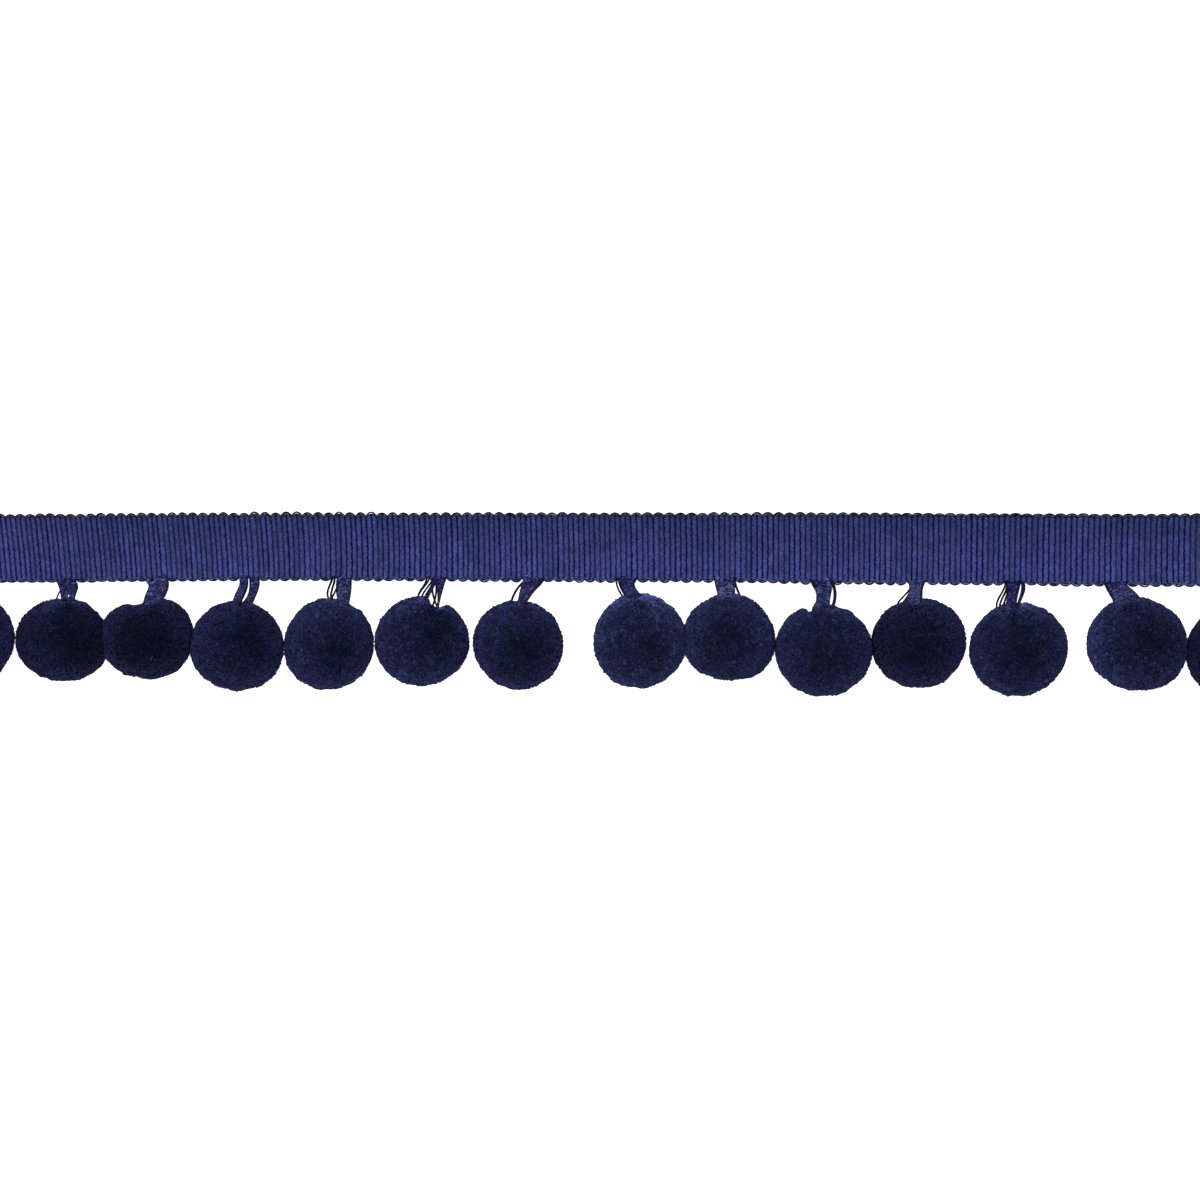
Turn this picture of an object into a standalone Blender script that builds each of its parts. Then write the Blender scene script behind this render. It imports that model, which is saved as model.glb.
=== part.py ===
"""Ball fringe: a ribbed woven heading with a row of cut-pile pompoms on short cord stems.

It lies flat with its face up. X runs along the heading, Y across it, and Z up from the
surface that it lies on. The tables and sizes are in millimetres, and MM turns them into metres.
"""

import math
import random
from collections import namedtuple

import bmesh
import bpy
from mathutils import Quaternion, Vector

MM = 0.001
GAP = 0.3
BALL_GAP = 0.4
SEED = 18

# Heading: a cross-ribbed band whose weft goes up one rib and down the next, so that it turns
# in small loops of two ribs along both edges, one rib further on at the upper one.
RIBS_PER_REPEAT = 18
STEM_RIBS = 4
END_RIBS = 12
LOOP_RIBS = 2
UPPER_LOOP_SHIFT = 1
COLUMNS_PER_RIB = 2
RIB_TOP = 1.45
GROOVE_TOP = 1.0
EDGE_TOP = 0.85
EDGE_ROLL = 1.1
LOOP_DEPTH = 0.58
LOOP_UNEVEN = 0.12

# Pompoms: a dense ball of pile, cut in three-sided locks.
SINK = 0.97
LOCK_GROOVE = 0.7
LOCK_PROUD = 0.5
LOCK_RIM = 0.05
PRESSED_LOCKS_BELOW = -0.7
LOCK_TURN = 37.0
DENT_SPREAD = 26.0

# Stems: the ribs' own cords, drawn out of the heading and up into the pompom.
CORD = 0.8
ROOT_DEPTH = 1.2
ROOT_HEIGHT = 1.1
ROOT_INSET = 0.35
ROOT_SPARE = 0.05
CORD_START_HEIGHT = 0.55
CORD_RISE = 1.0
CORD_STEPS = 6
CORD_SPARE = 0.1
WELD = 0.01

# One row for each stem: where its middle leaves the lower edge, both edges' notches there,
# and how far the ribs lean along X from the lower edge to the upper one.
Station = namedtuple("Station", "root upper lower lean")
STATIONS = (
    Station(-173.9, 9.15, -9.30, -1.95),
    Station(-148.8, 9.15, -9.15, -1.90),
    Station(-123.6, 9.35, -8.75, -1.60),
    Station(-98.1, 9.40, -8.65, -1.35),
    Station(-72.3, 9.40, -8.60, -0.57),
    Station(-45.8, 9.40, -8.70, -0.25),
    Station(-19.0, 9.55, -8.85, -0.43),
    Station(7.3, 9.50, -8.98, -0.37),
    Station(34.6, 9.43, -9.00, 0.00),
    Station(61.7, 9.54, -9.35, 0.00),
    Station(88.2, 9.46, -9.65, 0.18),
    Station(115.5, 9.40, -9.85, 0.25),
    Station(143.8, 9.20, -10.10, 0.25),
    Station(172.3, 9.30, -10.25, 0.25),
)

# One row for each pompom: its middle and its width across, how much it is oval or
# three-cornered in plan and which way, and how deep a dent it has and where.
Pompom = namedtuple("Pompom", "x y across oval oval_turn tri tri_turn dent dent_turn")
POMPOMS = (
    Pompom(-174.6, -25.4, 24.6, 0.3, 60, 0.1, 0, 0.0, 0),
    Pompom(-149.0, -25.5, 24.6, 0.8, 174, 0.1, 87, 0.4, 100),
    Pompom(-125.6, -25.1, 24.4, 1.1, 4, 0.4, 51, 0.5, 105),
    Pompom(-100.7, -27.2, 25.5, 0.3, 174, 0.1, 77, 0.0, 0),
    Pompom(-75.3, -26.8, 25.1, 0.2, 58, 0.1, 103, 0.0, 0),
    Pompom(-49.5, -25.9, 25.4, 0.4, 178, 0.1, 106, 0.8, 62),
    Pompom(-22.8, -26.9, 24.8, 0.2, 150, 0.1, 30, 0.0, 0),
    Pompom(10.9, -25.8, 26.0, 0.1, 73, 0.1, 118, 0.0, 0),
    Pompom(35.6, -25.0, 25.0, 0.5, 171, 0.3, 85, 0.0, 0),
    Pompom(61.8, -28.4, 26.3, 0.4, 179, 0.1, 12, 0.5, 114),
    Pompom(88.2, -26.4, 25.6, 0.4, 9, 0.1, 40, 0.0, 0),
    Pompom(115.8, -28.1, 26.7, 0.4, 19, 0.0, 15, 0.3, 60),
    Pompom(148.7, -26.6, 27.1, 0.5, 168, 0.2, 81, 0.5, 66),
    Pompom(176.3, -29.2, 26.0, 0.3, 100, 0.1, 20, 0.0, 0),
)

# One row for each stem: where its four cords meet the pompom, along X from the stem's root.
Cords = namedtuple("Cords", "first second third fourth")
STEMS = (
    Cords(-2.6, -1.4, -0.2, 1.0),
    Cords(-1.4, -0.2, 1.0, 2.2),
    Cords(-3.2, -1.8, -0.4, 1.0),
    Cords(-3.6, -2.4, -0.2, 1.0),
    Cords(-3.2, -0.9, 0.3, 1.6),
    Cords(-4.5, -2.9, -1.3, 0.4),
    Cords(-5.6, -3.6, -2.4, -1.2),
    Cords(0.0, 1.2, 2.4, 3.6),
    Cords(-1.1, 0.4, 1.9, 4.0),
    Cords(-0.9, 0.4, 1.7, 3.5),
    Cords(-4.0, -2.0, -0.7, 0.6),
    Cords(-3.9, -1.7, -0.3, 1.5),
    Cords(-0.7, 0.9, 2.5, 4.3),
    Cords(0.2, 1.6, 3.0, 4.4),
)


def clear_scene():
    for thing in list(bpy.data.objects):
        bpy.data.objects.remove(thing, do_unlink=True)


def new_collection(name):
    collection = bpy.data.collections.new(name)
    bpy.context.scene.collection.children.link(collection)
    return collection


def linear(level):
    """One screen colour level of 0 to 255 as the renderer's linear value."""
    share = level / 255
    return share / 12.92 if share <= 0.04045 else ((share + 0.055) / 1.055) ** 2.4


def yarn_material(name, red, green, blue, roughness):
    material = bpy.data.materials.new(name)
    material.use_nodes = True
    shader = material.node_tree.nodes["Principled BSDF"]
    shader.inputs["Base Color"].default_value = (linear(red), linear(green), linear(blue), 1)
    shader.inputs["Roughness"].default_value = roughness
    shader.inputs["Metallic"].default_value = 0.0
    return material


def finish_object(name, mesh, material, collection):
    """A new object from a closed mesh that was modelled in millimetres."""
    bmesh.ops.scale(mesh, vec=(MM, MM, MM), verts=mesh.verts)
    bmesh.ops.recalc_face_normals(mesh, faces=mesh.faces)
    data = bpy.data.meshes.new(name)
    mesh.to_mesh(data)
    mesh.free()
    data.materials.append(material)
    made = bpy.data.objects.new(name, data)
    collection.objects.link(made)
    return made


def along(column, ribs):
    """A column of STATIONS at a place along the heading, counted in ribs from the first stem."""
    repeats = ribs / RIBS_PER_REPEAT
    before = min(max(math.floor(repeats), 0), len(STATIONS) - 2)
    low = getattr(STATIONS[before], column)
    high = getattr(STATIONS[before + 1], column)
    return low + (high - low) * (repeats - before)


def loop_reach(ribs, depth):
    """How far a loop stands past the notches at its sides."""
    half = LOOP_RIBS / 2
    from_middle = (ribs % LOOP_RIBS) / half - 1
    return depth * math.sqrt(1 - from_middle**2)


def in_stem(ribs):
    from_stem = (ribs + RIBS_PER_REPEAT / 2) % RIBS_PER_REPEAT - RIBS_PER_REPEAT / 2
    return abs(from_stem) < STEM_RIBS / 2


def heading_point(ribs, row, upper_depth, lower_depth):
    """One point of the ribbed face. Rows 0 and 3 are the edges, and ribs crest at half counts."""
    upper = along("upper", ribs)
    lower = along("lower", ribs)
    loop_below = 0.0 if in_stem(ribs) else loop_reach(ribs, lower_depth)
    across = (
        lower - loop_below,
        lower + EDGE_ROLL,
        upper - EDGE_ROLL,
        upper + loop_reach(ribs + UPPER_LOOP_SHIFT, upper_depth),
    )[row]
    lean = along("lean", ribs) * (across - lower) / (upper - lower)
    face = RIB_TOP if ribs % 1 else GROOVE_TOP
    height = face if row in (1, 2) else EDGE_TOP
    return Vector((along("root", ribs) + lean, across, height))


def make_heading(material, collection):
    rng = random.Random(SEED)
    ribs_in_all = RIBS_PER_REPEAT * (len(STATIONS) - 1) + 2 * END_RIBS
    loops = ribs_in_all // LOOP_RIBS + 1
    upper_depths = [LOOP_DEPTH + rng.uniform(-1, 1) * LOOP_UNEVEN for _ in range(loops)]
    lower_depths = [LOOP_DEPTH + rng.uniform(-1, 1) * LOOP_UNEVEN for _ in range(loops)]
    columns = COLUMNS_PER_RIB * ribs_in_all
    rows = 3
    mesh = bmesh.new()
    bmesh.ops.create_grid(mesh, x_segments=columns, y_segments=rows, size=0.5)
    for point in mesh.verts:
        column = round((point.co.x + 0.5) * columns)
        row = round((point.co.y + 0.5) * rows)
        ribs = column / COLUMNS_PER_RIB
        upper_depth = upper_depths[int((ribs + UPPER_LOOP_SHIFT) // LOOP_RIBS)]
        lower_depth = lower_depths[int(ribs // LOOP_RIBS)]
        point.co = heading_point(ribs - END_RIBS, row, upper_depth, lower_depth)
    underside = bmesh.ops.extrude_face_region(mesh, geom=mesh.faces[:])
    for piece in underside["geom"]:
        if isinstance(piece, bmesh.types.BMVert):
            piece.co.z = 0.0
    return finish_object("heading", mesh, material, collection)


def open_reach(ball, direction):
    """From a pompom's middle to its pile's tips, where nothing presses on it."""
    turn = math.degrees(math.atan2(direction.y, direction.x))
    level = 1 - direction.z**2
    oval = ball.oval * math.cos(math.radians(2 * (turn - ball.oval_turn)))
    tri = ball.tri * math.cos(math.radians(3 * (turn - ball.tri_turn)))
    from_dent = (turn - ball.dent_turn + 180) % 360 - 180
    dent = ball.dent * math.exp(-((from_dent / DENT_SPREAD) ** 2))
    return ball.across / 2 + level * (oval + tri - dent)


def middle_height(ball):
    return SINK * (ball.across / 2 + LOCK_PROUD)


def pile_reach(index, direction, groove=0.0):
    """From a pompom's middle to its pile's tips, pressed flat by its neighbours and the floor."""
    ball = POMPOMS[index]
    reach = open_reach(ball, direction) + LOCK_PROUD - groove
    for beside in (index - 1, index + 1):
        if not 0 <= beside < len(POMPOMS):
            continue
        other = POMPOMS[beside]
        apart = Vector((other.x - ball.x, other.y - ball.y, 0))
        towards = apart.normalized()
        own = open_reach(ball, towards)
        theirs = open_reach(other, -towards)
        wall = apart.length * own / (own + theirs) - BALL_GAP / 2
        facing = direction.dot(towards)
        if facing > 0:
            reach = min(reach, wall / facing)
    if direction.z < 0:
        reach = min(reach, middle_height(ball) / -direction.z)
    return reach


def lock_directions():
    """The middles of a ball's twenty three-sided locks, on a ball of radius 1."""
    mesh = bmesh.new()
    bmesh.ops.create_icosphere(mesh, subdivisions=1, radius=1)
    middles = [face.calc_center_median().normalized() for face in mesh.faces]
    mesh.free()
    return middles


def groove_depth(direction, locks):
    """How far the pile lies back between two locks. Those pressed by the floor have closed up."""
    nearest, second = sorted(locks, key=direction.dot, reverse=True)[:2]
    if nearest.z < PRESSED_LOCKS_BELOW and second.z < PRESSED_LOCKS_BELOW:
        return 0.0
    inside = min((direction.dot(nearest) - direction.dot(second)) / LOCK_RIM, 1)
    return LOCK_GROOVE * (1 - inside)


def make_pompom(index, material, collection):
    ball = POMPOMS[index]
    locks = lock_directions()
    down = locks[0].rotation_difference(Vector((0, 0, -1)))
    seat = Quaternion((0, 0, 1), math.radians(LOCK_TURN * index)) @ down
    locks = [seat @ lock for lock in locks]
    middle = Vector((ball.x, ball.y, middle_height(ball)))
    mesh = bmesh.new()
    bmesh.ops.create_icosphere(mesh, subdivisions=3, radius=1)
    for point in mesh.verts:
        direction = (seat @ point.co).normalized()
        point.co = middle + direction * pile_reach(index, direction, groove_depth(direction, locks))
    return finish_object(f"pompom_{index + 1:02d}", mesh, material, collection)


def cord_end(index, along_x):
    """Where a cord meets the pile: just clear of the shoulder that faces the heading."""
    ball = POMPOMS[index]
    aside = along_x - ball.x
    reach = pile_reach(index, Vector((aside, ball.across / 2, CORD_RISE)).normalized())
    out = math.sqrt(reach**2 - aside**2 - CORD_RISE**2)
    slope = (abs(aside) + CORD_RISE) / out
    clear = GAP + CORD_SPARE + slope * CORD / 2
    return Vector((along_x, ball.y + out + clear, middle_height(ball) + CORD_RISE))


def cord_points(index, number, root_line):
    """Points along one cord, out of the root strip and up in an S to the pompom's shoulder."""
    station = STATIONS[index]
    rib = RIBS_PER_REPEAT * index + number - (STEM_RIBS - 1) / 2
    start = Vector((along("root", rib), root_line, CORD_START_HEIGHT))
    end = cord_end(index, station.root + STEMS[index][number])
    points = []
    for step in range(CORD_STEPS + 1):
        share = step / CORD_STEPS
        point = start.lerp(end, share * share * (3 - 2 * share))
        point.y = start.y + (end.y - start.y) * share
        points.append(point)
    return points


def cords_mesh(name, paths, collection):
    """Four-sided cords along the paths, as one hidden mesh object that a Boolean can use."""
    curve = bpy.data.curves.new(name, "CURVE")
    curve.dimensions = "3D"
    curve.bevel_depth = CORD / math.sqrt(2) * MM
    curve.bevel_resolution = 0
    curve.use_fill_caps = True
    for path in paths:
        spline = curve.splines.new("POLY")
        spline.points.add(len(path) - 1)
        for point, place in zip(spline.points, path):
            point.co = (*(place * MM), 1)
            point.tilt = math.radians(45)
    drawn = bpy.data.objects.new(name + "_line", curve)
    collection.objects.link(drawn)
    bpy.context.view_layer.update()
    evaluated = drawn.evaluated_get(bpy.context.evaluated_depsgraph_get())
    data = bpy.data.meshes.new_from_object(evaluated)
    mesh = bmesh.new()
    mesh.from_mesh(data)
    bmesh.ops.remove_doubles(mesh, verts=mesh.verts, dist=WELD * MM)
    bmesh.ops.recalc_face_normals(mesh, faces=mesh.faces)
    mesh.to_mesh(data)
    mesh.free()
    made = bpy.data.objects.new(name, data)
    made.matrix_world = drawn.matrix_world
    made.hide_render = True
    made.display_type = "WIRE"
    collection.objects.link(made)
    bpy.data.objects.remove(drawn, do_unlink=True)
    return made


def make_stem(index, material, collection, helpers):
    """A narrow root strip parted from the heading's edge, with the stem's four cords fused to it."""
    station = STATIONS[index]
    name = f"stem_{index + 1:02d}"
    middle_rib = RIBS_PER_REPEAT * index
    left = along("root", middle_rib - STEM_RIBS / 2) + ROOT_INSET
    right = along("root", middle_rib + STEM_RIBS / 2) - ROOT_INSET
    root_line = station.lower - GAP - ROOT_SPARE - ROOT_DEPTH / 2
    mesh = bmesh.new()
    bmesh.ops.create_cube(mesh, size=1)
    bmesh.ops.scale(mesh, vec=(right - left, ROOT_DEPTH, ROOT_HEIGHT), verts=mesh.verts)
    bmesh.ops.translate(mesh, vec=((left + right) / 2, root_line, ROOT_HEIGHT / 2), verts=mesh.verts)
    stem = finish_object(name, mesh, material, collection)
    paths = [cord_points(index, number, root_line) for number in range(STEM_RIBS)]
    fuse = stem.modifiers.new("cords", "BOOLEAN")
    fuse.operation = "UNION"
    fuse.solver = "EXACT"
    fuse.object = cords_mesh(name + "_cords", paths, helpers)
    return stem


def main():
    clear_scene()
    fringe = new_collection("ball_fringe")
    helpers = new_collection("helpers")
    heading_yarn = yarn_material("heading_yarn", 47, 54, 101, 0.75)
    stem_yarn = yarn_material("stem_yarn", 36, 42, 84, 0.8)
    pile_yarn = yarn_material("pile_yarn", 22, 27, 54, 0.95)
    make_heading(heading_yarn, fringe)
    for index in range(len(POMPOMS)):
        make_stem(index, stem_yarn, fringe, helpers)
        make_pompom(index, pile_yarn, fringe)


main()
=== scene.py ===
"""Ball fringe laid flat on a pale floor: ribbed heading, plied cord stems and cut-pile pompoms.

X runs along the heading, Y across it and Z up from the floor. The tables and sizes are in
millimetres, and MM turns them into metres.
"""

import math
from collections import namedtuple

import bmesh
import bpy
import numpy as np
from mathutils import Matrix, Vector
from mathutils.kdtree import KDTree


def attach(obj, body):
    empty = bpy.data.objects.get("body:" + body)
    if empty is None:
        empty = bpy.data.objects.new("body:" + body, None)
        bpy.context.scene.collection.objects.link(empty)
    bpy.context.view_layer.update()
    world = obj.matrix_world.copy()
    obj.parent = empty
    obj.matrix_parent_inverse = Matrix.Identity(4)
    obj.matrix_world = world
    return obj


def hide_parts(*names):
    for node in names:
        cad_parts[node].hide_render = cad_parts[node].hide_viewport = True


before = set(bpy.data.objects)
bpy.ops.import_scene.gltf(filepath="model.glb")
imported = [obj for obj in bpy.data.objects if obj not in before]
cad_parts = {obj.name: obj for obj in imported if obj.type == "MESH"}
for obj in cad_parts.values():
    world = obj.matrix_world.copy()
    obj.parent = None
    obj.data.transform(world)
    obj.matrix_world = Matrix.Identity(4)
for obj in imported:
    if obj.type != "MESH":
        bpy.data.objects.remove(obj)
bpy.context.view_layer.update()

MM = 0.001
SEED = 1851
# No point is lower than this over the floor.
LOWEST = 0.02
# Upward directions that no tube, and no plait, runs along.
TUBE_UP = (0.31, 0.2, 1.0)
PLAIT_UP = (0.0, 0.2, 1.0)

# The heading's ribs, as in the CAD part.
RIBS_PER_REPEAT = 18
STEM_RIBS = 4
END_RIBS = 12
LOOP_RIBS = 2
UPPER_LOOP_SHIFT = 1
RIB_PLACES = (0.0, 0.1, 0.3, 0.5, 0.7, 0.9)
RIB_HEIGHTS = (0.0, 0.78, 0.96, 1.0, 0.96, 0.78)
CREST_TOP = 1.45
GROOVE_TOP = 0.9
GROOVE_BACK = 0.3
FACE_ROWS = 20
BACK_ROWS = 8
# How the band rounds over at an edge: in from the edge, and up from the back as a share of its
# thickness.
EDGE_INSETS = (0.9, 0.45, 0.15, 0.0, 0.15, 0.45, 0.9)
EDGE_SHARES = (1.0, 0.94, 0.78, 0.5, 0.22, 0.06, 0.0)
UPPER_INSET = 0.45
LOWER_INSET = 0.05
UPPER_BULGE = 0.62
LOWER_BULGE = 0.36
# How unevenly the ribs lie and stand: a long and a short wave along each groove, how far apart the
# grooves are, and how high the ribs are.
RIB_WANDER = 0.02
LONG_WAVE = 1.6
SHORT_WAVE = 0.7
SHORT_SHARE = 0.6
RIB_UNEVEN = 0.06
RIB_SIZE_UNEVEN = 0.12

# Edge loops: the dark weft that turns over each pair of ribs, in a few strands laid side by side.
# Each row has how far out of the edge's notches it starts and how far it arches, its height over
# the floor, its radius and its shade. The lighter strands are painted highlights along the loops.
Loop = namedtuple("Loop", "start reach height radius tone")
UPPER_LOOPS = (
    Loop(-0.62, 0.96, 1.1, 0.27, 0.0),
    Loop(-0.58, 0.56, 1.35, 0.12, 0.36),
    Loop(-0.74, 0.44, 1.5, 0.16, 0.1),
)
LOWER_LOOPS = (
    Loop(-0.24, 0.7, 1.0, 0.25, 0.12),
    Loop(-0.32, 0.46, 1.35, 0.15, 0.6),
    Loop(-0.66, 0.36, 1.5, 0.1, 0.5),
)
# How far small loops stand out at their notches, as a share of what they lack at their crests.
LOOP_RAISE = 0.5
LOOP_STEPS = 11
LOOP_SIDES = 5
LOOP_ROUNDNESS = 0.7
LOOP_SIZE_UNEVEN = 0.15
LOOP_REACH_UNEVEN = 0.05
# A loop's height and radius at its two feet, as a share of those at its crest.
FOOT_HEIGHT_SHARE = 0.85
FOOT_RADIUS_SHARE = 0.8
LOOP_RADIUS_SHARES = (0.85, 1.15)
LOOP_TONE_SHARES = (0.6, 1)
LOOP_TONE_ADDED = 0.05

# Stems: flat plaits of fine strands, and loose threads beside them.
CORD_STEPS = 32
STRAND = 0.23
STRAND_SIDES = 4
STRAND_SPACING = 0.36
STRAND_LIFT = 0.22
FEWEST_STRANDS = 5
NARROWEST_HALF = 0.12
STRAND_LOOSE = 0.15
LOOSE_WAVES = (2, 4)
STRAND_TONES = (0.2, 0.5, 0.85, 1.2)
# How light a strand is painted between its high and low places, how much it gains and loses
# there, a painted highlight where it lies high and painted shade where it dives low, and where
# painted shade darkens it towards the plait's sides.
MIDDLE_LIGHT = 0.52
LIFT_LIGHT = 0.48
SIDE_START = 0.8
SIDE_DARK = 0.6
# Plain strands inside a plait, which close the gaps between the crossed ones. They are painted
# darker, as shade down inside the plait.
INNER_STEP = 3
INNER_SIDES = 3
INNER_WIDE = 0.97
INNER_SPACING = 0.32
INNER_TONE = 0.4
INNER_SHADE = 0.6
# Where the strands start inside the heading, how deep they dive there and for which share of their
# way, and their light and dark ends: lighter where they leave the heading, and painted shade where
# they go into the pile.
CORD_START = 1.0
CORD_START_HEIGHT = 1.1
CORD_DIVE = 0.7
CORD_DIVE_SHARES = (0.03, 0.13)
CORD_LIGHT = 0.3
CORD_LIGHT_SHARE = 0.16
CROSS_EASE = 0.12
FOOT_DARK = 0.7
FOOT_SHARE = 0.62
CORD_PLACES = (0.12, 0.36, 0.6, 0.84)
ENTRY_RISE = 20.0
CORD_SINK = 1.7
THREAD_SIDES = 5

# Pompoms: balls of cut pile in small tufts over a core that is painted dark, as shade deep in
# the pile.
SINK = 0.97
LOCK_PROUD = 0.5
DENT_SQUARENESS = 4
PILE_GAP = 0.03
LEAST_FACING = 0.05
FIBRES = 12200
TUFTS = 2600
FIBRE_JITTER = 0.010
TUFT_JITTER = 0.022
FIBRE_LENGTH = 3.2
FIBRE_LENGTH_UNEVEN = 0.3
FIBRE_HALF = 0.33
FIBRE_HALF_UNEVEN = 0.25
TIP_DEPTH = 0.06
CORE_SUBDIVISIONS = 4
CORE_DEPTH = 0.75
# How dark the core is painted: painted shade deep in the pile.
CORE_SHADE = 0.35
CLUMP = 0.12
TUFT_BORDER = 0.15
TUFT_UNEVEN = 0.05
FIBRE_UNEVEN = 0.06
FIBRE_TILT = 0.08
TUFT_LEAN = 0.022
TUFT_SHADE = 0.3
FIBRE_SHADE = 0.22
# How dark the strands' cut ends are painted: painted shade, as seen down along the strands into
# the dark between them.
END_SHADE = 0.27
TONE_LIMIT = 3.5
# Low swells, as the pile was clipped a little unevenly.
SWELLS = 8
SWELL_WAVES = (9, 24)
SWELL = 0.07
SWELL_EASE = 6
# Light streaks that fan out from where the stem goes in. Angles here and below are in degrees.
FAN_STREAKS = 60
FAN_SPREAD = 27.0
FAN_LEAN = 1.6
FAN_LIGHTS = (-1.2, 2)
# How the pile is parted where the stem lies in it.
PART_RISE = 14.0
PART_SPREAD = 10.0
PART_HEIGHT = 12.0
PART_DEPTH = 1.3
PART_LEAN = 0.08

# The soft sheen of all the yarn.
SHEEN_ROUGHNESS = 0.4

# Camera: straight above, at the photo's scale.
CAMERA_HEIGHT = 1860.0
CAMERA_LENS = 200.0
CAMERA_SENSOR = 36.0
VIEW_X = -0.12
VIEW_Y = -14.5

# Studio, in metres: a pale floor that glows a little, a plain sky and one large soft lamp.
FLOOR_SIDE = 6
FLOOR_GLOW = 0.8
SKY_STRENGTH = 0.9
LAMP_SIDE = 1.6
LAMP_POWER = 22.0
LAMP_PLACE = (-0.35, 0.35, 1.9)

# One row for each stem: its middle at the lower edge, both edges' notches there, and how far the
# ribs lean along X from the lower edge to the upper one, as in the CAD part. Then how far the ribs
# bow along X at mid height, and how far the loops at both edges stand out.
Station = namedtuple("Station", "root upper lower lean bow upper_size lower_size")
STATIONS = (
    Station(-173.9, 9.15, -9.30, -1.95, 0.2, 0.85, 0.55),
    Station(-148.8, 9.15, -9.15, -1.90, 0.14, 0.82, 0.5),
    Station(-123.6, 9.35, -8.75, -1.60, 0.1, 0.95, 0.75),
    Station(-98.1, 9.40, -8.65, -1.35, 0.18, 1.12, 0.9),
    Station(-72.3, 9.40, -8.60, -0.57, 0.27, 1.16, 0.9),
    Station(-45.8, 9.40, -8.70, -0.25, 0.2, 1.0, 1.1),
    Station(-19.0, 9.55, -8.85, -0.43, 0.11, 0.83, 1.15),
    Station(7.3, 9.50, -8.98, -0.37, 0.1, 0.8, 1.07),
    Station(34.6, 9.43, -9.00, 0.00, 0.04, 0.9, 1.05),
    Station(61.7, 9.54, -9.35, 0.00, 0.05, 0.83, 1.3),
    Station(88.2, 9.46, -9.65, 0.18, 0.06, 0.58, 1.2),
    Station(115.5, 9.40, -9.85, 0.25, -0.02, 0.48, 1.0),
    Station(143.8, 9.20, -10.10, 0.25, -0.13, 0.66, 1.2),
    Station(172.3, 9.30, -10.25, 0.25, -0.18, 0.7, 0.9),
)
RIBS_IN_ALL = RIBS_PER_REPEAT * (len(STATIONS) - 1) + 2 * END_RIBS

# One row for each pompom: its middle, width, unevenness and dent, and how wide the dent is. Then
# how far from its middle the point lies where the pile stands straight up, how light it is, and
# how strong the light streaks are that fan out from its stem. The shapes are the CAD part's, but
# for deeper dents at -125.6, -49.5 and 61.8, and the last pompom, which is turned and lies 0.9 mm
# further left.
Pompom = namedtuple(
    "Pompom",
    "x y across oval oval_turn tri tri_turn dent dent_turn dent_spread pole_x pole_y tone fan",
)
POMPOMS = (
    Pompom(-174.6, -25.4, 24.6, 0.3, 60, 0.1, 0, 0.0, 0, 26, 1.0, 0.0, 0.8, 0.3),
    Pompom(-149.0, -25.5, 24.6, 0.8, 174, 0.1, 87, 0.4, 100, 26, 2.5, 0.5, 0.56, 0.9),
    Pompom(-125.6, -25.1, 24.4, 1.1, 4, 0.4, 51, 1.2, 98, 22, -1.0, -0.5, 0.42, 0.3),
    Pompom(-100.7, -27.2, 25.5, 0.3, 174, 0.1, 77, 0.0, 0, 26, 3.0, 1.0, 0.69, 0.3),
    Pompom(-75.3, -26.8, 25.1, 0.2, 58, 0.1, 103, 0.0, 0, 26, 2.6, -1.8, 0.9, 0.6),
    Pompom(-49.5, -25.9, 25.4, 0.4, 178, 0.1, 106, 2.1, 69, 12, 4.0, 2.0, 0.83, 1.3),
    Pompom(-22.8, -26.9, 24.8, 0.2, 150, 0.1, 30, 0.0, 0, 26, 2.0, -2.6, 0.8, 0.3),
    Pompom(10.9, -25.8, 26.0, 0.1, 73, 0.1, 118, 0.0, 0, 26, 0.8, -1.8, 1.12, 2.2),
    Pompom(35.6, -25.0, 25.0, 0.5, 171, 0.3, 85, 0.0, 0, 26, -0.8, -0.6, 1.0, 0.5),
    Pompom(61.8, -28.4, 26.3, 0.4, 179, 0.1, 12, 1.6, 109, 5, 0.8, -0.8, 0.88, 0.6),
    Pompom(88.2, -26.4, 25.6, 0.4, 9, 0.1, 40, 0.0, 0, 26, 1.8, -1.2, 0.68, 0.6),
    Pompom(115.8, -28.1, 26.7, 0.4, 19, 0.0, 15, 0.3, 60, 26, 1.2, 0.4, 0.83, 1.3),
    Pompom(148.7, -26.6, 27.1, 0.5, 168, 0.2, 81, 0.5, 66, 26, 3.4, 1.6, 0.86, 0.6),
    Pompom(175.4, -29.2, 26.0, 0.3, 0, 0.1, 20, 0.0, 0, 26, 0.0, 0.0, 0.36, 0.3),
)

# One row for each side of a pompom that is lighter or darker than the rest: the pompom, the side's
# direction in degrees from +X, how light it is and how many degrees wide. This is painted light
# and shade: darker where a side is in shade, mostly beside a neighbour that lies over it, and
# lighter where a rim or top is lit.
Side = namedtuple("Side", "pompom angle tone spread")
SIDES = (
    Side(1, 0, 0.15, 50),
    Side(1, 90, 1.8, 40),
    Side(1, 180, 0.3, 50),
    Side(2, 180, 3.0, 32),
    Side(7, 75, 1.7, 55),
    Side(8, 180, 1.5, 45),
    Side(8, 270, 0.4, 40),
    Side(10, 180, 0.2, 50),
    Side(11, 90, 1.8, 40),
    Side(12, 180, 1.8, 45),
)

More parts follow.
